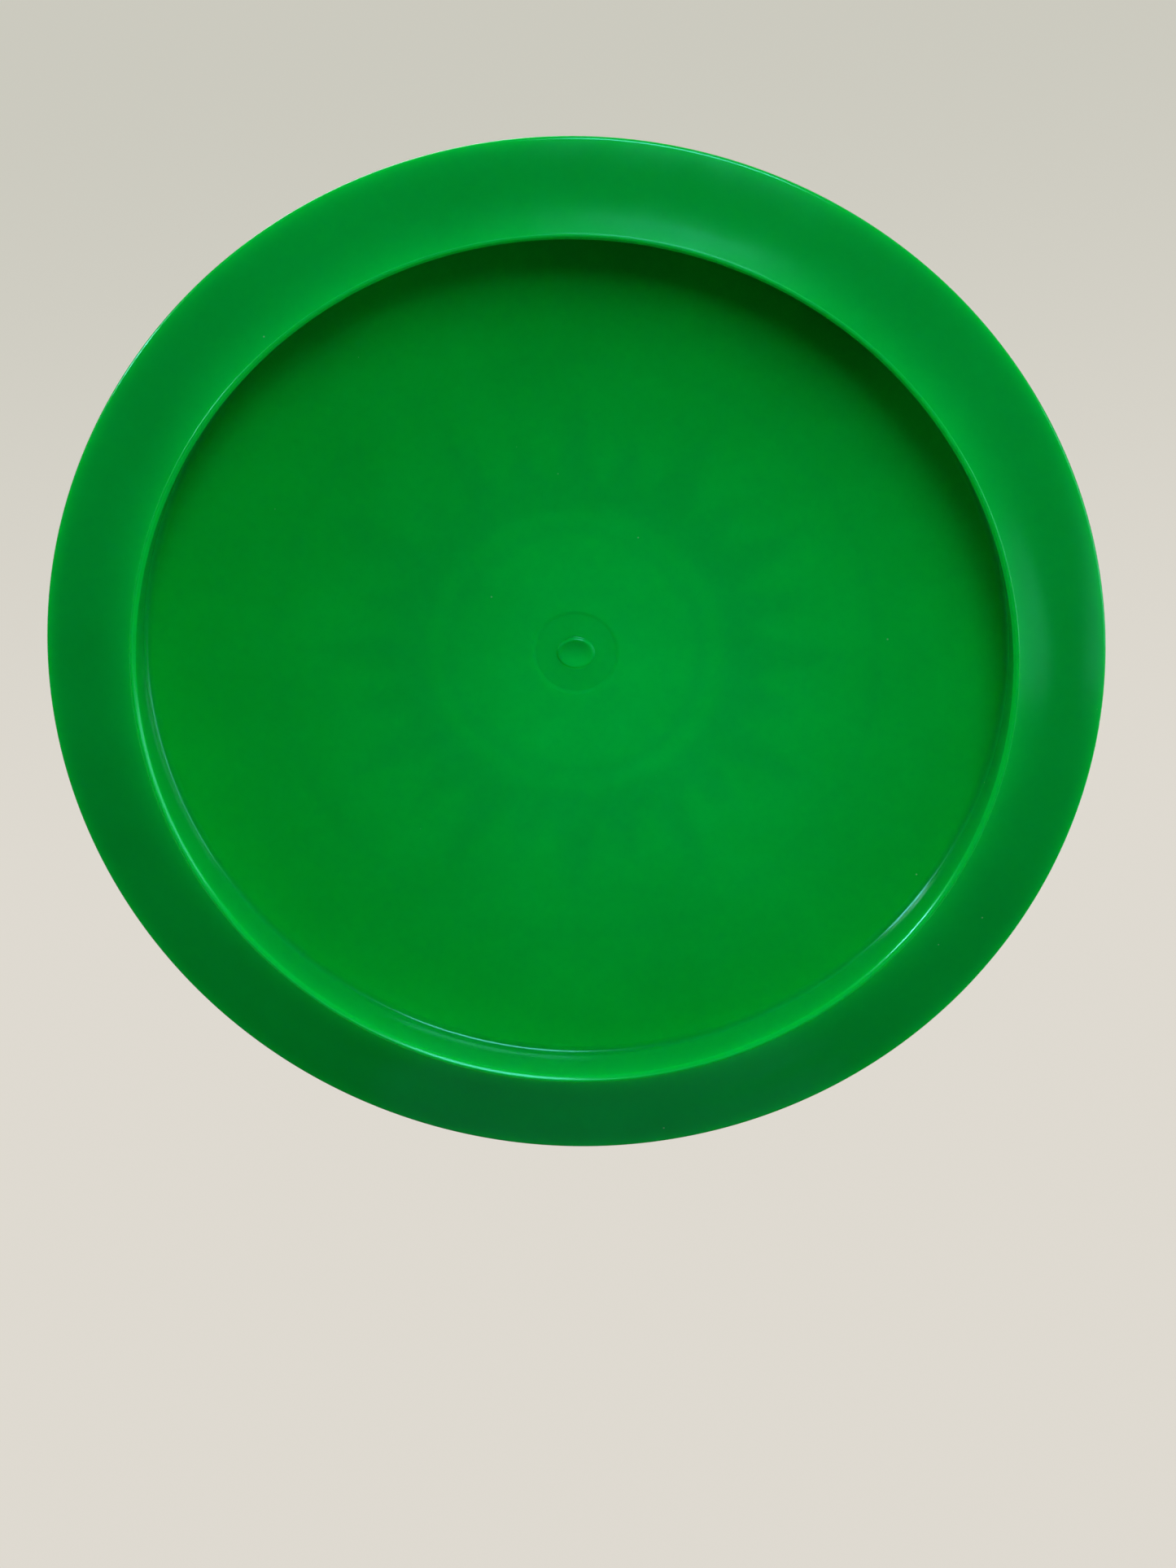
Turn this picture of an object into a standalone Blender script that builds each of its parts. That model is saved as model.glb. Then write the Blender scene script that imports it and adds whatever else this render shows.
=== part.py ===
"""A disc-golf driver: one moulded disc, with a hot-stamped foil design on its top face.

Frame: metres, +Z up along the spin axis, right side up as the disc flies. The origin is on the
axis, in the plane of the rim's flat land, which is what the disc rests on.
"""

import math

import bmesh
import bpy

MM = 0.001

# Flight plate: a shallow dome of even thickness.
PLATE_THICKNESS = 2.0 * MM
DOME_RISE = 3.2 * MM
RIM_DEPTH = 12.3 * MM
OVERALL_HEIGHT = RIM_DEPTH + DOME_RISE + PLATE_THICKNESS

# Rim: the nose is its widest ring, and the wing runs from the nose down to the land.
NOSE_RADIUS = 105.5 * MM
NOSE_HEIGHT = 6.3 * MM
NOSE_ROUND = 0.7 * MM
NOSE_UPPER_SLOPE = math.radians(38)
SHOULDER_RADIUS = 84.0 * MM
SHOULDER_HANDLE = 9.0 * MM
NOSE_UPPER_HANDLE = 6.5 * MM

# The wing's slope at its foot beside the land, at its waist and at the nose.
# The foot's end and the waist are placed by their share of the wing's width.
WING_FOOT_SLOPE = math.radians(21.6)
WING_WAIST_SLOPE = math.radians(15.9)
WING_NOSE_SLOPE = math.radians(20.0)
WING_FOOT_END = 0.15
WING_WAIST = 0.54
WING_STEPS = 12

# The land is the narrow flat ring at the bottom of the rim. It stands proud of the wing by a small step.
LAND_OUTER_RADIUS = 88.05 * MM
LAND_STEP = 0.2 * MM
LAND_STEP_ROUND = 0.17 * MM
LAND_STEP_GAP = 0.1 * MM

# Inner wall, straight up from the land to the flight plate.
# It has an eased lip at its foot and a fillet at its top.
WALL_RADIUS = 86.85 * MM
WALL_FILLET = 1.1 * MM
LIP_WIDTH = 0.75 * MM
LIP_HEIGHT = 0.75 * MM
LIP_LAND_HANDLE = 0.15 * MM
LIP_WALL_HANDLE = 0.2 * MM

# Gate mark at the centre of the underside: a shallow round recess, and in it a button with a dished face.
RECESS_RADIUS = 8.8 * MM
RECESS_DEPTH = 0.18 * MM
BUTTON_RADIUS = 3.75 * MM
BUTTON_HEIGHT = 0.6 * MM
BUTTON_ROUND = 0.5 * MM
BUTTON_DISH = 0.4 * MM

# Foil islands. Each is a film that follows the dome, just clear of the plastic.
FOIL_THICKNESS = 0.08 * MM
FOIL_GAP = 0.10 * MM
INNER_RING = (24.5 * MM, 26.5 * MM)
SUNBURST_RING = (30.0 * MM, 35.0 * MM)
OUTER_RING = (60.0 * MM, 61.5 * MM)
LONG_RAY_TIP = 57.0 * MM
SHORT_RAY_TIP = 47.0 * MM
RAY_PAIRS = 12
BLANK_RADIUS = LONG_RAY_TIP + 1.5 * MM

TURN_STEPS = 80
MERGE = 1e-5


def dome_top(radius):
    """Height of the flight plate's top face at this radius."""
    return OVERALL_HEIGHT - DOME_RISE * (radius / WALL_RADIUS) ** 2


def dome_underside(radius):
    return dome_top(radius) - PLATE_THICKNESS


def arc(centre, radius, start, end, steps):
    """Points on an arc, with its angles in degrees from +X towards +Z."""
    angles = [math.radians(start + (end - start) * i / steps) for i in range(steps + 1)]
    return [(centre[0] + radius * math.cos(a), centre[1] + radius * math.sin(a)) for a in angles]


def blend(start, start_handle, end_handle, end, steps):
    """Points on a cubic Bezier between two ends, which are left out. Handles are offsets from them."""
    near = (start[0] + start_handle[0], start[1] + start_handle[1])
    far = (end[0] + end_handle[0], end[1] + end_handle[1])
    points = []
    for i in range(1, steps):
        t = i / steps
        weights = ((1 - t) ** 3, 3 * t * (1 - t) ** 2, 3 * t * t * (1 - t), t**3)
        controls = (start, near, far, end)
        points.append(tuple(sum(w * p[k] for w, p in zip(weights, controls)) for k in (0, 1)))
    return points


def spread(start, end, steps):
    return [start + (end - start) * i / steps for i in range(steps + 1)]


def eased(start, end, share):
    """From start to end as share runs from 0 to 1, level at both ends."""
    t = min(max(share, 0), 1)
    return start + (end - start) * t * t * (3 - 2 * t)


def top_outline():
    """From the centre of the top face out to the nose."""
    dome = [(r, dome_top(r)) for r in spread(0, SHOULDER_RADIUS, 8)]
    shoulder_slope = 2 * DOME_RISE * SHOULDER_RADIUS / WALL_RADIUS**2
    along_dome = (SHOULDER_HANDLE, -SHOULDER_HANDLE * shoulder_slope)
    back_from_nose = (
        -NOSE_UPPER_HANDLE * math.cos(NOSE_UPPER_SLOPE),
        NOSE_UPPER_HANDLE * math.sin(NOSE_UPPER_SLOPE),
    )
    nose = arc(
        (NOSE_RADIUS - NOSE_ROUND, NOSE_HEIGHT),
        NOSE_ROUND,
        90 - math.degrees(NOSE_UPPER_SLOPE),
        math.degrees(WING_NOSE_SLOPE) - 90,
        6,
    )
    return dome + blend(dome[-1], along_dome, back_from_nose, nose[0], 8) + nose


def wing_slope(share):
    """The wing's slope at a share of the way out from its foot to the nose."""
    if share < WING_WAIST:
        along = (share - WING_FOOT_END) / (WING_WAIST - WING_FOOT_END)
        return eased(WING_FOOT_SLOPE, WING_WAIST_SLOPE, along)
    return eased(WING_WAIST_SLOPE, WING_NOSE_SLOPE, (share - WING_WAIST) / (1 - WING_WAIST))


def wing_outline(nose_end):
    """From the nose in to the wing's foot: the slopes added up, and scaled to meet the nose."""
    foot = (LAND_OUTER_RADIUS + LAND_STEP_GAP, LAND_STEP)
    width = (nose_end[0] - foot[0]) / WING_STEPS
    rises = [math.tan(wing_slope((i + 0.5) / WING_STEPS)) * width for i in range(WING_STEPS)]
    scale = (nose_end[1] - foot[1]) / sum(rises)
    points = [foot]
    for rise in rises[:-1]:
        points.append((points[-1][0] + width, points[-1][1] + rise * scale))
    return points[::-1]


def land_outline():
    """The step, the flat land, the eased lip, and the wall up to the fillet under the flight plate."""
    step_centre = (LAND_OUTER_RADIUS - LAND_STEP_ROUND, LAND_STEP_ROUND)
    step = arc(step_centre, LAND_STEP_ROUND, -5, -90, 3)
    lip_start = (WALL_RADIUS + LIP_WIDTH, 0.0)
    lip_end = (WALL_RADIUS, LIP_HEIGHT)
    eases = blend(lip_start, (-LIP_LAND_HANDLE, 0), (0, -LIP_WALL_HANDLE), lip_end, 5)
    fillet_centre = (WALL_RADIUS - WALL_FILLET, dome_underside(WALL_RADIUS) - WALL_FILLET)
    return step + [lip_start, *eases, lip_end] + arc(fillet_centre, WALL_FILLET, 0, 86, 4)


def underside_outline():
    """From the fillet in to the axis, with the gate's recess and button."""
    plate = [(r, dome_underside(r)) for r in spread(WALL_RADIUS - 2 * WALL_FILLET, RECESS_RADIUS, 7)]
    floor = dome_underside(RECESS_RADIUS) + RECESS_DEPTH
    recess = [(RECESS_RADIUS - RECESS_DEPTH, floor), (BUTTON_RADIUS, floor)]
    crest, edge = floor - BUTTON_HEIGHT, BUTTON_RADIUS - BUTTON_ROUND
    rounded = arc((edge, crest + BUTTON_ROUND), BUTTON_ROUND, 0, -90, 3)
    face = [(r, crest + BUTTON_DISH * (1 - (r / edge) ** 2)) for r in spread(edge, 0, 3)]
    return plate + recess + rounded + face[1:]


def disc_outline():
    top = top_outline()
    return top + wing_outline(top[-1]) + land_outline() + underside_outline()


def material(name, colour, roughness, metallic=0.0):
    made = bpy.data.materials.new(name)
    made.use_nodes = True
    shader = made.node_tree.nodes["Principled BSDF"]
    shader.inputs["Base Color"].default_value = (*colour, 1.0)
    shader.inputs["Roughness"].default_value = roughness
    shader.inputs["Metallic"].default_value = metallic
    return made


def new_collection(name):
    made = bpy.data.collections.new(name)
    bpy.context.scene.collection.children.link(made)
    return made


def turned(name, outline, closed, collection):
    """An object turned about Z from an outline of (radius, height) points, running down its outer side."""
    mesh = bpy.data.meshes.new(name)
    edges = [(i, i + 1) for i in range(len(outline) - 1)]
    if closed:
        edges.append((len(outline) - 1, 0))
    mesh.from_pydata([(r, 0.0, z) for r, z in outline], edges, [])
    made = bpy.data.objects.new(name, mesh)
    collection.objects.link(made)
    screw = made.modifiers.new("Turn", "SCREW")
    screw.axis = "Z"
    screw.angle = 2 * math.pi
    screw.steps = TURN_STEPS
    screw.render_steps = TURN_STEPS
    screw.use_merge_vertices = True
    screw.merge_threshold = MERGE
    screw.use_smooth_shade = True
    return made


def film_outline(inner, outer, steps):
    """Section of a foil film between two radii: down its outer edge, and back along its underside."""
    lower = [(r, dome_top(r) + FOIL_GAP) for r in spread(inner, outer, steps)]
    upper = [(r, z + FOIL_THICKNESS) for r, z in lower]
    return upper + lower[::-1]


def sunburst_cutter(collection):
    """A tall prism whose outline is a ring of long and short rays."""
    valley = SUNBURST_RING[1]
    tips = (LONG_RAY_TIP, valley, SHORT_RAY_TIP, valley)
    count = RAY_PAIRS * len(tips)
    angles = [2 * math.pi * i / count for i in range(count)]
    mesh = bpy.data.meshes.new("sunburst_cutter")
    shape = bmesh.new()
    corners = []
    for i, angle in enumerate(angles):
        reach = tips[i % len(tips)]
        corners.append(shape.verts.new((reach * math.cos(angle), reach * math.sin(angle), RIM_DEPTH)))
    base = shape.faces.new(corners)
    raised = bmesh.ops.extrude_face_region(shape, geom=[base])
    top = [v for v in raised["geom"] if isinstance(v, bmesh.types.BMVert)]
    bmesh.ops.translate(shape, verts=top, vec=(0, 0, OVERALL_HEIGHT))
    bmesh.ops.recalc_face_normals(shape, faces=shape.faces)
    shape.to_mesh(mesh)
    shape.free()
    cutter = bpy.data.objects.new("sunburst_cutter", mesh)
    collection.objects.link(cutter)
    cutter.hide_render = True
    cutter.display_type = "WIRE"
    return cutter


def disc_body(collection):
    body = turned("disc_body", disc_outline(), False, collection)
    body.data.materials.append(material("green_plastic", (0.0, 0.28, 0.035), 0.28))
    return body


def foil(name, radii, steps, collection, colour):
    film = turned(name, film_outline(*radii, steps), True, collection)
    film.data.materials.append(colour)
    return film


def top_foil(collection, cutters):
    """The three islands of the hot stamp: a thin ring inside, a ring of rays, and a thin ring outside."""
    silver = material("silver_foil", (0.75, 0.76, 0.78), 0.22, 1.0)
    foil("foil_inner_ring", INNER_RING, 1, collection, silver)
    foil("foil_outer_ring", OUTER_RING, 1, collection, silver)
    sunburst = foil("foil_sunburst", (SUNBURST_RING[0], BLANK_RADIUS), 6, collection, silver)
    trim = sunburst.modifiers.new("Rays", "BOOLEAN")
    trim.operation = "INTERSECT"
    trim.solver = "EXACT"
    trim.object = sunburst_cutter(cutters)


def main():
    for old in list(bpy.data.objects):
        bpy.data.objects.remove(old)
    parts = new_collection("flying_disc")
    cutters = new_collection("cutters")
    disc_body(parts)
    top_foil(parts, cutters)


main()
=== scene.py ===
"""The looks of a green disc-golf driver, seen mainly from below, as its photograph shows it.

Metres, +Z up along the spin axis. The disc lies right side up on its land, at z = 0.
"""

import math

import bpy
from mathutils import Matrix, Vector

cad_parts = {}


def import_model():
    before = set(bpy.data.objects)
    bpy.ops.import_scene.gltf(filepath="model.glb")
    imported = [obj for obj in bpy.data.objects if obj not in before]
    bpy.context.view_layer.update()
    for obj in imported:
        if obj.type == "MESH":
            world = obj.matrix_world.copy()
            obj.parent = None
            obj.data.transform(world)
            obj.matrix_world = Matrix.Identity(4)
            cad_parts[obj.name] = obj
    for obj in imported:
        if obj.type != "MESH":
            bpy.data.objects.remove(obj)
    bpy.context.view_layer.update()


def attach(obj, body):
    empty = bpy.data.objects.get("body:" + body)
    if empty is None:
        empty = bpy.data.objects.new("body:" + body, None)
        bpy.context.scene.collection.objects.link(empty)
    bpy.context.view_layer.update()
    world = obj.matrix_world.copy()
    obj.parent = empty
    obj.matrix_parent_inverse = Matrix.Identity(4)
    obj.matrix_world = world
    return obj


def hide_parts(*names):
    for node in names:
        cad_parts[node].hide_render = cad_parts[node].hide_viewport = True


MM = 0.001

# The disc's section, as the CAD part has it.
PLATE_THICKNESS = 2.0 * MM
DOME_RISE = 3.2 * MM
RIM_DEPTH = 12.3 * MM
OVERALL_HEIGHT = RIM_DEPTH + DOME_RISE + PLATE_THICKNESS
NOSE_RADIUS = 105.5 * MM
NOSE_HEIGHT = 6.3 * MM
NOSE_ROUND = 0.7 * MM
NOSE_UPPER_SLOPE = math.radians(38)
SHOULDER_RADIUS = 84.0 * MM
SHOULDER_HANDLE = 9.0 * MM
NOSE_UPPER_HANDLE = 6.5 * MM
WING_FOOT_SLOPE = math.radians(21.6)
WING_WAIST_SLOPE = math.radians(15.9)
WING_NOSE_SLOPE = math.radians(20.0)
WING_FOOT_END = 0.15
WING_WAIST = 0.54
LAND_OUTER_RADIUS = 88.05 * MM
LAND_STEP = 0.2 * MM
LAND_STEP_ROUND = 0.17 * MM
LAND_STEP_GAP = 0.1 * MM
LIP_WIDTH = 0.75 * MM
LIP_HEIGHT = 0.75 * MM
LIP_LAND_HANDLE = 0.15 * MM
LIP_WALL_HANDLE = 0.2 * MM
WALL_RADIUS = 86.85 * MM
WALL_FILLET = 1.1 * MM
RECESS_RADIUS = 8.8 * MM
RECESS_DEPTH = 0.18 * MM

# Only here: where the plate starts beside the fillet, and the recess's bevel.
PLATE_EDGE_RADIUS = WALL_RADIUS - 1.4 * WALL_FILLET
RECESS_BEVEL = 0.7 * MM

# The gate mark: a button with a dished face, and a side that flares by BUTTON_FOOT. All within
# BUTTON_REACH of it is squeezed to an oval and stands lower on the -Y side, where the gate broke
# away.
BUTTON_RADIUS = 3.75 * MM
BUTTON_HEIGHT = 0.6 * MM
BUTTON_ROUND = 0.5 * MM
BUTTON_DISH = 0.4 * MM
BUTTON_FOOT = 0.15 * MM
BUTTON_REACH = 0.3 * MM
BUTTON_OVAL = 0.86
BUTTON_LOW_SIDE = 0.45

# The foil, much nearer its real thickness than the CAD solids can be.
FILM_LIFT = 0.01 * MM
FILM_THICKNESS = 0.03 * MM
INNER_RING = (24.5 * MM, 26.5 * MM)
SUNBURST_RING = (30.0 * MM, 35.0 * MM)
OUTER_RING = (60.0 * MM, 61.5 * MM)
LONG_RAY_TIP = 57.0 * MM
SHORT_RAY_TIP = 47.0 * MM
RAY_PAIRS = 12
EDGES_PER_PAIR = 4
SHARP_ANGLE = math.radians(40)

# How finely the shapes are drawn: steps round the axis, and steps along each run.
TURN_STEPS = 288
DOME_STEPS = 24
SHOULDER_STEPS = 24
NOSE_STEPS = 16
WING_STEPS = 40
LAND_STEP_STEPS = 8
LIP_STEPS = 16
FILLET_STEPS = 12
PLATE_STEPS = 24
BUTTON_ROUND_STEPS = 12
BUTTON_FACE_STEPS = 10
RAY_EDGE_STEPS = 8
RAY_ROWS = 8

# A run longer than LONG_SEGMENT gets a point SUPPORT away from each end that really bends.
SUPPORT = 0.06 * MM
LONG_SEGMENT = 0.4 * MM
SUPPORT_BEND = math.radians(2)

# The plastic's colours.
PLATE_GREEN = (0.0, 0.52, 0.038, 1.0)
# The next green is the lighter colour of a painted glow round a centre on the plate.
PAINTED_GLOW_GREEN = (0.0, 0.73, 0.100, 1.0)
RIM_GREEN = (0.0, 0.49, 0.056, 1.0)
DUST_COLOUR = (0.55, 0.80, 0.55, 1.0)

# The underside's reflections are short of red, as the photograph's greens are, except at
# grazing angles.
UNDERSIDE_TINT = (0.18, 1.0, 1.0, 1.0)
TOP_TINT = (1.0, 1.0, 1.0, 1.0)

# The plastic's regions. Each mask fades between two radii, two heights, or, for the skin on the
# top, two depths.
PLATE_END = (86.0 * MM, 87.0 * MM)
PLATE_FOOT = (11.5 * MM, 12.0 * MM)
RIM_START = (85.4 * MM, 86.4 * MM)
TOP_SKIN = (0.5 * MM, 1.0 * MM)
OVER_NOSE = (NOSE_HEIGHT + 0.2 * MM, NOSE_HEIGHT + 0.6 * MM)
OUTSIDE_WALL = (WALL_RADIUS + 0.1 * MM, WALL_RADIUS + 0.3 * MM)
RECESS_SLOPE = (RECESS_RADIUS - RECESS_BEVEL, RECESS_RADIUS)
BUTTON_SIDE = (BUTTON_RADIUS - 0.4 * MM, BUTTON_RADIUS)
LAND_FACE = (0.06 * MM, 0.12 * MM)

# Painted light: the plastic's colour is made lighter near the land's corner, the nose and the
# wall, and round a centre on the plate. This painted glow stands for light shining through the
# translucent plastic. Each glow is its reach and its strength.
LAND_CORNER = (87.5 * MM, 0.0)
NOSE_CORNER = (104.9 * MM, NOSE_HEIGHT)
GLOW_CENTRE = (-14.0 * MM, -8.0 * MM)
LAND_GLOW = (2.0 * MM, 0.32)
LAND_WIDE_GLOW = (6.0 * MM, 0.20)
NOSE_GLOW = (1.2 * MM, 0.5)
WALL_GLOW = (0.5 * MM, 0.08)
PAINTED_CENTRE_GLOW = (58.0 * MM, 1.0)

# Painted light and shade, as shares of the plastic's brightness: painted shade inside the recess,
# and on the button's face painted light on its -Y side and painted shade on its +Y side.
RECESS_PAINTED_SHADE = 0.05
BUTTON_LIGHT_SPAN = (-3.2 * MM, 2.8 * MM)
BUTTON_LIGHT_TONE = (0.20, -0.12)

# Each noise is its scale, detail and roughness. NOISE_SPAN is the part of a noise's range that
# runs from one tone, or one roughness, to the other.
NOISE_SPAN = (0.3, 0.7)
MOTTLE = (34.0, 3.0, 0.55)
MOTTLE_TONE = (0.95, 1.05)
GRAIN = (420.0, 2.0, 0.5)
GRAIN_TONE = (0.985, 1.015)
SHEEN = (160.0, 5.0, 0.6)
SHEEN_ROUGHNESS = (0.14, 0.19)
LAND_ROUGHER = 0.2
PORES = (900.0, 3.0, 0.5)
PORE_STRENGTH = 0.03
PORE_DEPTH = 0.1 * MM
DUST_SCALE = 160.0
DUST_CORE = 0.08 * MM
DUST_RADIUS = 0.22 * MM
DUST_RARITY = 0.62
DUST_STRENGTH = 0.5
PLASTIC_SHADER = {
    "IOR": 1.49,
    "Specular IOR Level": 0.75,
    "Subsurface Weight": 1.0,
    "Subsurface Radius": (0.1, 1.0, 0.2),
    "Subsurface Scale": 3.0 * MM,
}

FOIL_DARK = (0.68, 0.69, 0.72, 1.0)
FOIL_LIGHT = (0.80, 0.81, 0.84, 1.0)
FOIL_TONE = (60.0, 4.0, 0.6)
FOIL_SHEEN = (240.0, 4.0, 0.6)
FOIL_ROUGHNESS = (0.15, 0.22)
FOIL_WAVES = (700.0, 2.0, 0.5)
FOIL_WAVE_STRENGTH = 0.25
FOIL_WAVE_DEPTH = 0.05 * MM

# The camera looks up at the underside, from 0.7 m, through a long lens.
CAMERA_DISTANCE = 0.696
CAMERA_TILT = math.radians(19.83)
CAMERA_LEAN = math.radians(-5.8)
CAMERA_AIM = (2.8 * MM, -23.4 * MM)
CAMERA_CLIP = (0.01, 20.0)
LENS_MM = 80.1
SENSOR_MM = 36.0

# The light on the underside. Each lamp has the direction it comes from in the camera's own axes
# (right, up, and back towards the camera), its distance, its size, its radiance and its colour.
WHITE_LIGHT = (1.0, 1.0, 1.0)
BLUISH_LIGHT = (0.6, 0.3, 1.0)
CAMERA_LAMPS = {
    "lamp_above": ((0.15, 0.475, 0.862), 2.0, (0.92, 1.0), 6.9, WHITE_LIGHT),
    "lamp_right": ((0.975, -0.06, 0.225), 1.6, (0.9, 0.75), 2.4, WHITE_LIGHT),
    "lamp_left": ((-0.913, 0.31, 0.225), 1.8, (0.28, 0.2), 40.0, WHITE_LIGHT),
    "card_right": ((0.80, -0.36, 0.48), 1.5, (0.5, 0.6), 0.6, WHITE_LIGHT),
    "card_below": ((0.0, -0.99, 0.14), 1.5, (0.9, 0.4), 0.15, BLUISH_LIGHT),
}

# The light on the top side, for the other views. Each lamp has its place, its size, its radiance
# and its colour.
STUDIO_LAMPS = {
    "studio_key": ((0.5, 0.9, 1.4), (1.0, 1.0), 3.1, WHITE_LIGHT),
    "studio_fill": ((-1.2, -0.8, 1.1), (1.2, 1.2), 1.05, WHITE_LIGHT),
}

# The backdrop darkens along BACKDROP_RISE, a direction in the camera's own axes.
BACKDROP_LOW = (0.735, 0.70, 0.635, 1.0)
BACKDROP_HIGH = (0.60, 0.59, 0.52, 1.0)
BACKDROP_RISE = (-0.1, 1.0, 0.0)
BACKDROP_SPAN = (-0.03, 0.22)

FLOOR_SIZE = 12.0
FLOOR_COLOUR = (0.86, 0.84, 0.80, 1.0)
FLOOR_ROUGHNESS = 0.8
FLOOR_GLOW = 0.26
FLOOR_FADE = (0.12, 1.7)

# The room as a source of light, dim below and brighter above. Reflections see soft patches in
# its upper half.
ROOM_SPAN = (0.0, 0.35)
ROOM_WHITE = (1.0, 1.0, 1.0, 1.0)
ROOM_LOW_COLOUR = (0.75, 1.0, 0.25, 1.0)
ROOM_LOW = 0.045
ROOM_HIGH = 0.2
ROOM_LOW_REFLECTED = 0.01
CEILING = (2.2, 1.0, 0.5)
CEILING_SPAN = (0.38, 0.62)
CEILING_LIGHT = (0.04, 0.55)


def arc(centre, radius, start, end, steps):
    """Points along an arc. Its start and end are angles in degrees."""
    angles = [math.radians(start + (end - start) * i / steps) for i in range(steps + 1)]
    return [(centre[0] + radius * math.cos(a), centre[1] + radius * math.sin(a)) for a in angles]


def blend(start, start_handle, end_handle, end, steps):
    """The inner points of a Bezier curve from start to end."""
    near = (start[0] + start_handle[0], start[1] + start_handle[1])
    far = (end[0] + end_handle[0], end[1] + end_handle[1])
    corners = (start, near, far, end)
    points = []
    for i in range(1, steps):
        t = i / steps
        weights = ((1 - t) ** 3, 3 * t * (1 - t) ** 2, 3 * t * t * (1 - t), t**3)
        points.append(tuple(sum(w * p[k] for w, p in zip(weights, corners)) for k in (0, 1)))
    return points


def spread(start, end, steps):
    return [start + (end - start) * i / steps for i in range(steps + 1)]


def eased(start, end, share):
    """From start to end as share runs from 0 to 1, level at both ends."""
    t = min(max(share, 0), 1)
    return start + (end - start) * t * t * (3 - 2 * t)


def dome_top(radius):
    return OVERALL_HEIGHT - DOME_RISE * (radius / WALL_RADIUS) ** 2


def dome_underside(radius):
    return dome_top(radius) - PLATE_THICKNESS


def top_outline():
    """The top side, from the axis out over the dome and the shoulder, and round the nose."""
    dome = [(r, dome_top(r)) for r in spread(0, SHOULDER_RADIUS, DOME_STEPS)]
    shoulder_slope = 2 * DOME_RISE * SHOULDER_RADIUS / WALL_RADIUS**2
    along_dome = (SHOULDER_HANDLE, -SHOULDER_HANDLE * shoulder_slope)
    back = (
        -NOSE_UPPER_HANDLE * math.cos(NOSE_UPPER_SLOPE),
        NOSE_UPPER_HANDLE * math.sin(NOSE_UPPER_SLOPE),
    )
    nose = arc(
        (NOSE_RADIUS - NOSE_ROUND, NOSE_HEIGHT),
        NOSE_ROUND,
        start=90 - math.degrees(NOSE_UPPER_SLOPE),
        end=math.degrees(WING_NOSE_SLOPE) - 90,
        steps=NOSE_STEPS,
    )
    return dome + blend(dome[-1], along_dome, back, nose[0], SHOULDER_STEPS) + nose


def wing_slope(share):
    """The wing's slope at a share of the way out from its foot to the nose."""
    if share < WING_WAIST:
        along = (share - WING_FOOT_END) / (WING_WAIST - WING_FOOT_END)
        return eased(WING_FOOT_SLOPE, WING_WAIST_SLOPE, along)
    return eased(WING_WAIST_SLOPE, WING_NOSE_SLOPE, (share - WING_WAIST) / (1 - WING_WAIST))


def wing_outline(nose_end):
    """The wing from the nose in to the land, by adding up its slopes from the land out."""
    foot = (LAND_OUTER_RADIUS + LAND_STEP_GAP, LAND_STEP)
    width = (nose_end[0] - foot[0]) / WING_STEPS
    rises = [math.tan(wing_slope((i + 0.5) / WING_STEPS)) * width for i in range(WING_STEPS)]
    scale = (nose_end[1] - foot[1]) / sum(rises)
    points = [foot]
    for rise in rises[:-1]:
        points.append((points[-1][0] + width, points[-1][1] + rise * scale))
    return points[::-1]


def land_outline():
    """The land's small outer step, its lip, and the fillet at the top of the wall."""
    step_centre = (LAND_OUTER_RADIUS - LAND_STEP_ROUND, LAND_STEP_ROUND)
    step = arc(step_centre, LAND_STEP_ROUND, start=-5, end=-90, steps=LAND_STEP_STEPS)
    lip_start = (WALL_RADIUS + LIP_WIDTH, 0.0)
    lip_end = (WALL_RADIUS, LIP_HEIGHT)
    lip = blend(lip_start, (-LIP_LAND_HANDLE, 0), (0, -LIP_WALL_HANDLE), lip_end, LIP_STEPS)
    fillet_centre = (WALL_RADIUS - WALL_FILLET, dome_underside(WALL_RADIUS) - WALL_FILLET)
    fillet = arc(fillet_centre, WALL_FILLET, start=2, end=86, steps=FILLET_STEPS)
    return step + [lip_start, *lip, lip_end] + fillet


def underside_outline():
    """The plate's underside in to the axis, with the recess and the gate button."""
    plate_radii = spread(PLATE_EDGE_RADIUS, RECESS_RADIUS, PLATE_STEPS)
    plate = [(r, dome_underside(r)) for r in plate_radii]
    bottom = dome_underside(RECESS_RADIUS) + RECESS_DEPTH
    crest = bottom - BUTTON_HEIGHT
    recess = [(r, bottom) for r in (RECESS_SLOPE[0], BUTTON_RADIUS + BUTTON_FOOT)]
    edge = BUTTON_RADIUS - BUTTON_ROUND
    round_centre = (edge, crest + BUTTON_ROUND)
    rounded = arc(round_centre, BUTTON_ROUND, start=0, end=-90, steps=BUTTON_ROUND_STEPS)
    face_radii = spread(edge, 0, BUTTON_FACE_STEPS)
    face = [(r, crest + BUTTON_DISH * (1 - (r / edge) ** 2)) for r in face_radii]
    return plate + recess + rounded + face[1:]


def bend(a, b, c):
    """The angle that the outline turns through at b."""
    return Vector((b[0] - a[0], b[1] - a[1])).angle(Vector((c[0] - b[0], c[1] - b[1])))


def with_supports(outline):
    """Adds a point beside each real bend of a long run, so that smooth shading stays true there."""
    made = [outline[0]]
    last = len(outline) - 1
    for k in range(last):
        a, b = outline[k], outline[k + 1]
        length = math.dist(a, b)
        near = SUPPORT / length
        bends_before = k > 0 and bend(outline[k - 1], a, b) > SUPPORT_BEND
        bends_after = k + 1 < last and bend(a, b, outline[k + 2]) > SUPPORT_BEND
        if length > LONG_SEGMENT:
            for share in [near] * bends_before + [1 - near] * bends_after:
                made.append((a[0] + (b[0] - a[0]) * share, a[1] + (b[1] - a[1]) * share))
        made.append(b)
    return made


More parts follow.
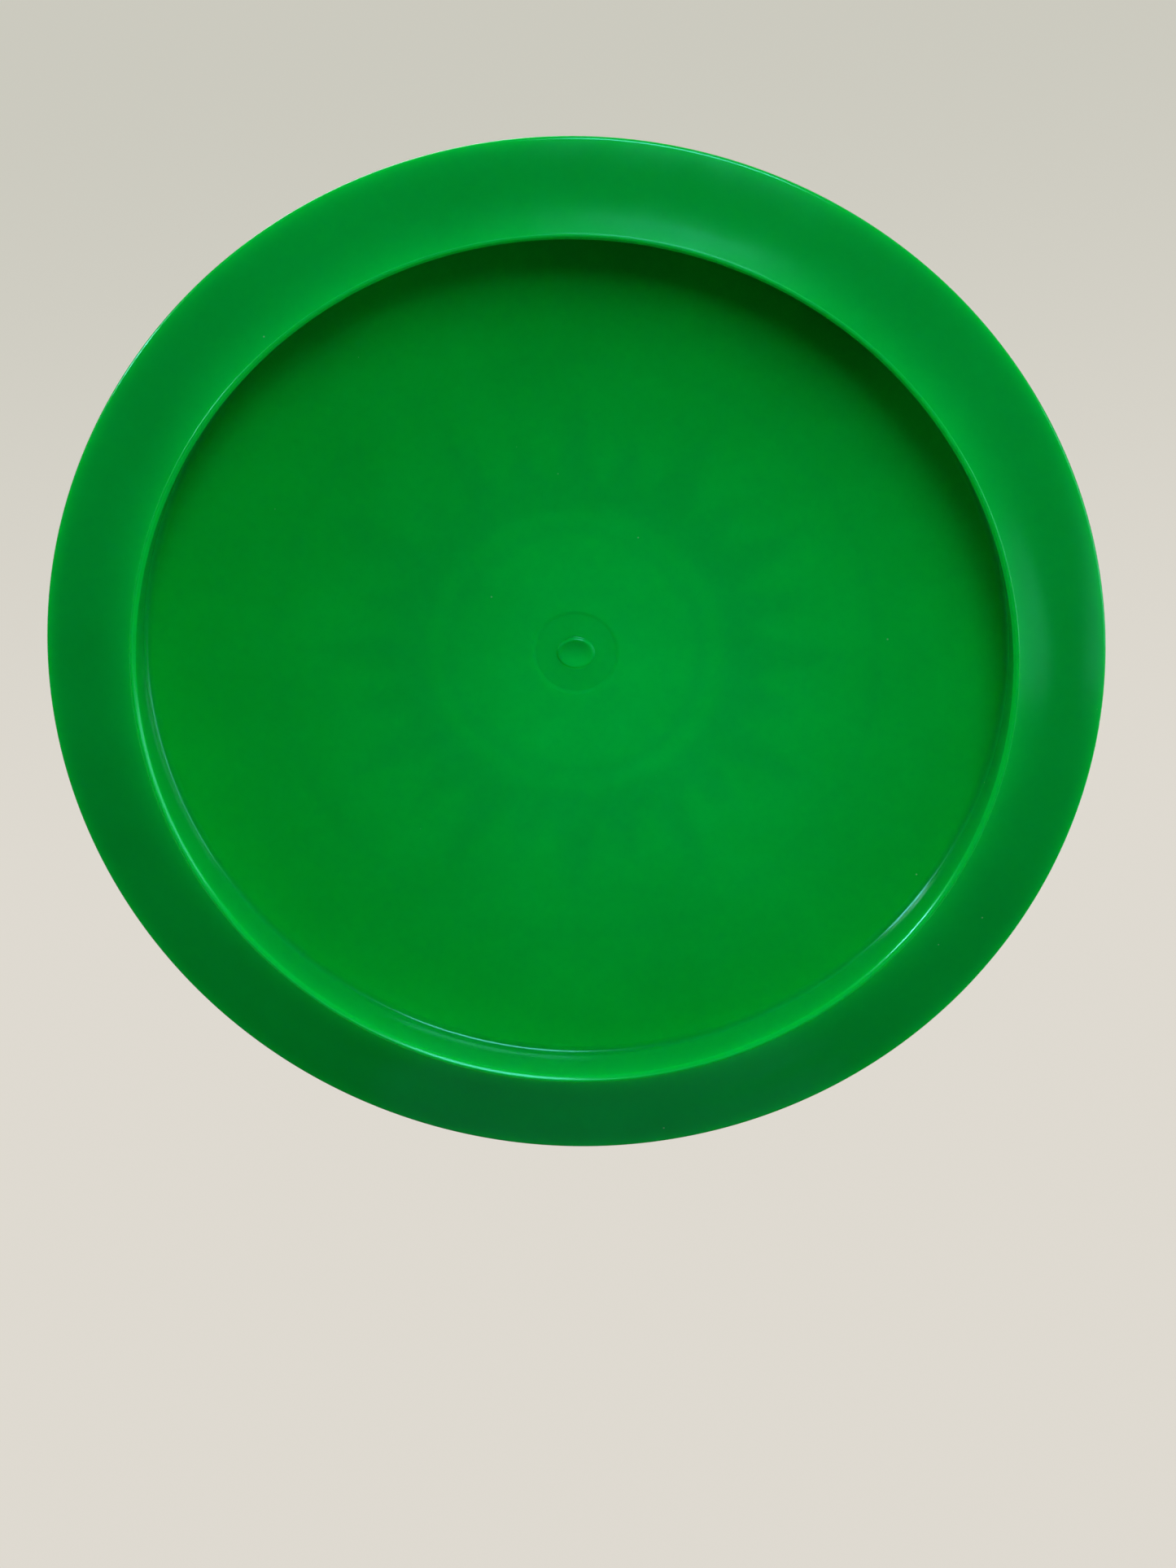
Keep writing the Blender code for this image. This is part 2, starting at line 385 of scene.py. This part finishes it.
def add_object(name, data):
    made = bpy.data.objects.new(name, data)
    bpy.context.scene.collection.objects.link(made)
    return made


def add_mesh(name, points, faces):
    mesh = bpy.data.meshes.new(name)
    mesh.from_pydata(points, [], faces)
    mesh.shade_smooth()
    return add_object(name, mesh)


def turned(name, outline, closed):
    """A solid of revolution about Z. An outline that isn't closed starts and ends on the axis."""
    rings = outline if closed else outline[1:-1]
    angles = [2 * math.pi * i / TURN_STEPS for i in range(TURN_STEPS)]
    turns = [(math.cos(a), math.sin(a)) for a in angles]
    points = [(r * c, r * s, z) for r, z in rings for c, s in turns]
    faces = []
    for k in range(len(rings) if closed else len(rings) - 1):
        near, far = k * TURN_STEPS, (k + 1) % len(rings) * TURN_STEPS
        for i in range(TURN_STEPS):
            j = (i + 1) % TURN_STEPS
            faces.append((near + i, far + i, far + j, near + j))
    if not closed:
        last = (len(rings) - 1) * TURN_STEPS
        points += [(0, 0, outline[0][1]), (0, 0, outline[-1][1])]
        for i in range(TURN_STEPS):
            j = (i + 1) % TURN_STEPS
            faces.append((len(points) - 2, i, j))
            faces.append((len(points) - 1, last + j, last + i))
    return add_mesh(name, points, faces)


class Graph:
    """A node tree, with a short way to write what goes into it."""

    def __init__(self, tree, coordinates):
        self.tree = tree
        self.place = self.node("TexCoord").outputs[coordinates]

    def feed(self, node, inputs):
        """Links or sets a node's inputs, by their names or numbers."""
        for key, value in inputs.items():
            if isinstance(value, bpy.types.NodeSocket):
                self.tree.links.new(value, node.inputs[key])
            else:
                node.inputs[key].default_value = value
        return node

    def node(self, kind, inputs=None, **settings):
        made = self.tree.nodes.new("ShaderNode" + kind)
        for name, value in settings.items():
            setattr(made, name, value)
        return self.feed(made, inputs or {})

    def calc(self, operation, *values):
        return self.node("Math", dict(enumerate(values)), operation=operation).outputs[0]

    def vector_calc(self, operation, output, *values):
        made = self.node("VectorMath", dict(enumerate(values)), operation=operation)
        return made.outputs[output]

    def add(self, first, *others):
        for value in others:
            first = self.calc("ADD", first, value)
        return first

    def times(self, first, *others):
        for value in others:
            first = self.calc("MULTIPLY", first, value)
        return first

    def less(self, a, b):
        return self.calc("SUBTRACT", a, b)

    def hypot(self, a, b):
        return self.calc("SQRT", self.add(self.times(a, a), self.times(b, b)))

    def parts(self):
        return self.node("SeparateXYZ", {0: self.place}).outputs[:3]

    def fading(self, distance, reach, strength):
        """The strength at distance 0, falling away by e for every reach."""
        return self.times(strength, self.calc("EXPONENT", self.calc("DIVIDE", distance, -reach)))

    def bell(self, distance, reach, strength):
        """The strength at distance 0, falling away as a bell curve does."""
        share = self.calc("DIVIDE", distance, reach)
        return self.fading(self.times(share, share), 1.0, strength)

    def remap(self, value, source, target=(0.0, 1.0), interpolation="LINEAR"):
        inputs = dict(enumerate((value, *source, *target)))
        return self.node("MapRange", inputs, interpolation_type=interpolation).outputs[0]

    def noise(self, scale, detail, roughness):
        inputs = {"Vector": self.place, "Scale": scale, "Detail": detail, "Roughness": roughness}
        return self.node("TexNoise", inputs).outputs["Fac"]

    def specks(self, scale, inner, outer, rarity):
        """1 on small round specks, and 0 elsewhere. Rarity runs from 0, all cells, to 1, none."""
        cells = self.node("TexVoronoi", {"Vector": self.place, "Scale": scale})
        near = self.remap(cells.outputs["Distance"], (inner * scale, outer * scale), (1.0, 0.0))
        return self.times(near, self.calc("GREATER_THAN", cells.outputs["Color"], rarity))

    def mix(self, share, a, b):
        return self.node("Mix", {0: share, 6: a, 7: b}, data_type="RGBA").outputs[2]

    def brighten(self, colour, factor):
        return self.node("VectorMath", {0: colour, "Scale": factor}, operation="SCALE").outputs[0]

    def bump(self, height, strength, depth):
        inputs = {"Height": height, "Strength": strength, "Distance": depth}
        return self.node("Bump", inputs).outputs[0]

    def background(self, colour, strength):
        return self.node("Background", {"Color": colour, "Strength": strength}).outputs[0]

    def mix_shaders(self, share, a, b):
        return self.node("MixShader", {0: share, 1: a, 2: b}).outputs[0]


def new_material(name):
    """A material, a Graph of its nodes, and its shader."""
    material = bpy.data.materials.new(name)
    material.use_nodes = True
    tree = material.node_tree
    return material, Graph(tree, "Object"), tree.nodes["Principled BSDF"]


def green_plastic():
    material, g, shader = new_material("green_plastic")
    x, y, z = g.parts()
    radius = g.hypot(x, y)
    from_land = g.hypot(g.less(radius, LAND_CORNER[0]), z)
    from_nose = g.hypot(g.less(radius, NOSE_CORNER[0]), g.less(z, NOSE_CORNER[1]))
    from_glow_centre = g.hypot(g.less(x, GLOW_CENTRE[0]), g.less(y, GLOW_CENTRE[1]))
    share_out = g.calc("DIVIDE", radius, WALL_RADIUS)
    dome_drop = g.times(DOME_RISE, g.times(share_out, share_out))
    below_top = g.less(g.less(OVERALL_HEIGHT, z), dome_drop)

    under_plate = g.times(
        g.remap(radius, PLATE_END, (1.0, 0.0)),
        g.remap(z, PLATE_FOOT),
        g.remap(below_top, TOP_SKIN),
    )
    on_dome = g.remap(below_top, TOP_SKIN, (1.0, 0.0))
    on_shoulder = g.times(g.remap(z, OVER_NOSE), g.remap(radius, OUTSIDE_WALL))
    on_top = g.calc("MAXIMUM", on_dome, on_shoulder)
    on_rim = g.calc("MAXIMUM", g.remap(radius, RIM_START), on_top)
    on_button = g.times(under_plate, g.remap(radius, BUTTON_SIDE, (1.0, 0.0)))

    # Painted glow: the colour is lighter at the land's corner, the nose and the wall.
    painted_glow = g.add(
        g.fading(from_land, *LAND_GLOW),
        g.bell(from_land, *LAND_WIDE_GLOW),
        g.fading(from_nose, *NOSE_GLOW),
        g.bell(g.less(radius, WALL_RADIUS), *WALL_GLOW),
    )
    # Painted shade: the plate is made darker inside the recess.
    recess = g.times(under_plate, g.remap(radius, RECESS_SLOPE, (RECESS_PAINTED_SHADE, 0.0)))
    # Painted light and shade on the button's face: lighter on its -Y side, darker on its +Y side.
    painted_button_light = g.times(on_button, g.remap(y, BUTTON_LIGHT_SPAN, BUTTON_LIGHT_TONE))
    mottle = g.remap(g.noise(*MOTTLE), NOISE_SPAN, MOTTLE_TONE)
    grain = g.remap(g.noise(*GRAIN), NOISE_SPAN, GRAIN_TONE)
    # The plastic's brightness: painted glow and painted shade, times random mottle and grain.
    light = g.add(g.less(g.add(painted_glow, 1.0), recess), painted_button_light)
    light = g.times(light, g.times(mottle, grain))

    # Painted glow: the plate turns to the lighter green round a centre near the gate.
    painted_centre_glow = g.times(under_plate, g.bell(from_glow_centre, *PAINTED_CENTRE_GLOW))
    colour = g.mix(on_rim, g.mix(painted_centre_glow, PLATE_GREEN, PAINTED_GLOW_GREEN), RIM_GREEN)
    dust = g.times(g.specks(DUST_SCALE, DUST_CORE, DUST_RADIUS, DUST_RARITY), DUST_STRENGTH)
    sheen = g.remap(g.noise(*SHEEN), NOISE_SPAN, SHEEN_ROUGHNESS)
    rougher = g.times(g.remap(z, LAND_FACE, (1.0, 0.0)), LAND_ROUGHER)
    looks = {
        "Base Color": g.mix(dust, g.brighten(colour, light), DUST_COLOUR),
        "Roughness": g.add(sheen, rougher),
        "Specular Tint": g.mix(on_top, UNDERSIDE_TINT, TOP_TINT),
        "Normal": g.bump(g.noise(*PORES), PORE_STRENGTH, PORE_DEPTH),
    }
    g.feed(shader, looks | PLASTIC_SHADER)
    return material


def silver_foil():
    material, g, shader = new_material("silver_foil")
    looks = {
        "Base Color": g.mix(g.noise(*FOIL_TONE), FOIL_DARK, FOIL_LIGHT),
        "Roughness": g.remap(g.noise(*FOIL_SHEEN), NOISE_SPAN, FOIL_ROUGHNESS),
        "Normal": g.bump(g.noise(*FOIL_WAVES), FOIL_WAVE_STRENGTH, FOIL_WAVE_DEPTH),
        "Metallic": 1.0,
    }
    g.feed(shader, looks)
    return material


def disc_body(plastic):
    top = top_outline()
    outline = top + wing_outline(top[-1]) + land_outline() + underside_outline()
    body = turned("moulded_disc", with_supports(outline), False)
    face_height = dome_underside(RECESS_RADIUS) + RECESS_DEPTH
    for vertex in body.data.vertices:
        x, y, z = vertex.co
        if math.hypot(x, y) < BUTTON_RADIUS + BUTTON_REACH and z < face_height + MM:
            lowered = BUTTON_LOW_SIDE * (0.5 - 0.5 * y / BUTTON_RADIUS)
            vertex.co.y = y * BUTTON_OVAL
            vertex.co.z = face_height - (face_height - z) * (1 - lowered)
    body.data.materials.append(plastic)
    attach(body, "root")
    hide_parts("disc_body")


def film_ring(name, radii, foil, node):
    lower = [(r, dome_top(r) + FILM_LIFT) for r in radii]
    upper = [(r, z + FILM_THICKNESS) for r, z in lower]
    ring = turned(name, upper + lower[::-1], True)
    ring.data.set_sharp_from_angle(angle=SHARP_ANGLE)
    ring.data.materials.append(foil)
    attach(ring, "root")
    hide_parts(node)


def ray_reach(index, along, pitch):
    """The sunburst's outer radius, at an angle along the straight edge with this index."""
    valley = SUNBURST_RING[1]
    corners = (LONG_RAY_TIP, valley, SHORT_RAY_TIP, valley)
    a, b = corners[index % EDGES_PER_PAIR], corners[(index + 1) % EDGES_PER_PAIR]
    return a * b * math.sin(pitch) / (a * math.sin(along) + b * math.sin(pitch - along))


def sunburst(foil):
    """The rays, as a thin closed sheet: a grid on each of its two faces, joined at the edges."""
    edges = RAY_PAIRS * EDGES_PER_PAIR
    steps = edges * RAY_EDGE_STEPS
    pitch = 2 * math.pi / edges
    points = []
    for lift in (FILM_LIFT + FILM_THICKNESS, FILM_LIFT):
        for i in range(steps):
            angle = 2 * math.pi * i / steps
            index = i // RAY_EDGE_STEPS
            reach = ray_reach(index, angle - index * pitch, pitch)
            for r in spread(SUNBURST_RING[0], reach, RAY_ROWS):
                points.append((r * math.cos(angle), r * math.sin(angle), dome_top(r) + lift))
    below = steps * (RAY_ROWS + 1)
    faces = []
    for i in range(steps):
        near, far = i * (RAY_ROWS + 1), (i + 1) % steps * (RAY_ROWS + 1)
        for k in range(RAY_ROWS):
            upper = (near + k, near + k + 1, far + k + 1, far + k)
            faces += [upper, tuple(below + v for v in upper[::-1])]
        for a, b in ((far, near), (near + RAY_ROWS, far + RAY_ROWS)):
            faces.append((b, a, below + a, below + b))
    rays = add_mesh("foil_rays", points, faces)
    rays.data.set_sharp_from_angle(angle=SHARP_ANGLE)
    rays.data.materials.append(foil)
    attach(rays, "root")
    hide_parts("foil_sunburst")


def camera():
    """The camera, placed by its distance and by the way the disc's axis leans in its view."""
    data = bpy.data.cameras.new("camera")
    data.lens = LENS_MM
    data.sensor_width = SENSOR_MM
    data.clip_start, data.clip_end = CAMERA_CLIP
    made = add_object("camera", data)
    flat, steep = math.sin(CAMERA_TILT), math.cos(CAMERA_TILT)
    up_axis = Vector((-flat * math.sin(CAMERA_LEAN), flat * math.cos(CAMERA_LEAN), -steep))
    left = Vector((-1, 0, 0))
    x_axis = (left - left.dot(up_axis) * up_axis).normalized()
    y_axis = up_axis.cross(x_axis)
    seen = Matrix((x_axis, y_axis, up_axis)).transposed()
    nose_centre = Vector((-CAMERA_AIM[0], -CAMERA_AIM[1], -CAMERA_DISTANCE))
    origin = nose_centre - seen @ Vector((0, 0, NOSE_HEIGHT))
    turn = seen.transposed()
    made.matrix_world = Matrix.Translation(-(turn @ origin)) @ turn.to_4x4()
    bpy.context.scene.camera = made
    return made


def lamp(name, place, size, radiance, colour):
    """A soft rectangular lamp at a place, aimed at the disc."""
    data = bpy.data.lights.new(name, "AREA")
    data.shape = "RECTANGLE"
    data.size, data.size_y = size
    data.energy = radiance * math.pi * size[0] * size[1]
    data.color = colour
    made = add_object(name, data)
    made.location = place
    made.rotation_mode = "QUATERNION"
    made.rotation_quaternion = Vector(place).normalized().to_track_quat("Z", "Y")
    made.visible_camera = False


def lamps(eye):
    axes = eye.matrix_world.to_3x3()
    for name, (direction, distance, size, radiance, colour) in CAMERA_LAMPS.items():
        lamp(name, (axes @ Vector(direction)).normalized() * distance, size, radiance, colour)
    for name, settings in STUDIO_LAMPS.items():
        lamp(name, *settings)


def backdrop(g, eye, direction):
    """The pale paper behind the disc, a little darker towards the top of the camera's picture."""
    rise = eye.matrix_world.to_3x3() @ Vector(BACKDROP_RISE)
    height = g.vector_calc("DOT_PRODUCT", "Value", direction, rise)
    share = g.remap(height, BACKDROP_SPAN, interpolation="SMOOTHSTEP")
    return g.mix(share, BACKDROP_LOW, BACKDROP_HIGH)


def floor(eye):
    """A pale floor that shows from above only, so that the camera below sees the underside.

    Far off it takes on the backdrop's colour, so that no hard horizon shows.
    """
    bpy.ops.mesh.primitive_plane_add(size=FLOOR_SIZE, location=(0, 0, 0))
    made = bpy.context.object
    made.name = "floor"
    material, g, shader = new_material("floor")
    looks = {
        "Base Color": FLOOR_COLOUR,
        "Roughness": FLOOR_ROUGHNESS,
        "Emission Color": FLOOR_COLOUR,
        "Emission Strength": FLOOR_GLOW,
    }
    g.feed(shader, looks)
    distance = g.vector_calc("LENGTH", "Value", g.place)
    far_off = g.remap(distance, FLOOR_FADE, interpolation="SMOOTHSTEP")
    direction = g.vector_calc("NORMALIZE", "Vector", g.place)
    paper = g.node("Emission", {"Color": backdrop(g, eye, direction)})
    upper_side = g.mix_shaders(far_off, shader.outputs[0], paper.outputs[0])
    from_below = g.node("NewGeometry").outputs["Backfacing"]
    clear = g.node("BsdfTransparent").outputs[0]
    both_sides = g.mix_shaders(from_below, upper_side, clear)
    g.feed(g.tree.nodes["Material Output"], {"Surface": both_sides})
    made.data.materials.append(material)
    made.visible_shadow = False
    made.visible_diffuse = False
    made.visible_glossy = False
    made.visible_transmission = False


def surroundings(eye):
    """The room: the backdrop for the camera, and dim light from below and more from above."""
    world = bpy.data.worlds.new("room")
    world.use_nodes = True
    bpy.context.scene.world = world
    world.node_tree.nodes.clear()
    g = Graph(world.node_tree, "Generated")
    upward = g.remap(g.parts()[2], ROOM_SPAN)
    low = g.background(ROOM_LOW_COLOUR, ROOM_LOW)
    diffuse = g.mix_shaders(upward, low, g.background(ROOM_WHITE, ROOM_HIGH))
    low = g.background(ROOM_WHITE, ROOM_LOW_REFLECTED)
    patches = g.remap(g.noise(*CEILING), CEILING_SPAN, CEILING_LIGHT)
    glossy = g.mix_shaders(upward, low, g.background(ROOM_WHITE, patches))
    path = g.node("LightPath").outputs
    light = g.mix_shaders(path["Is Glossy Ray"], diffuse, glossy)
    paper = g.background(backdrop(g, eye, g.place), 1.0)
    g.node("OutputWorld", {"Surface": g.mix_shaders(path["Is Camera Ray"], light, paper)})


def main():
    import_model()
    bpy.context.scene.view_settings.view_transform = "Standard"
    plastic, foil = green_plastic(), silver_foil()
    disc_body(plastic)
    film_ring("foil_ring_inner", INNER_RING, foil, "foil_inner_ring")
    film_ring("foil_ring_outer", OUTER_RING, foil, "foil_outer_ring")
    sunburst(foil)
    eye = camera()
    lamps(eye)
    floor(eye)
    surroundings(eye)


main()
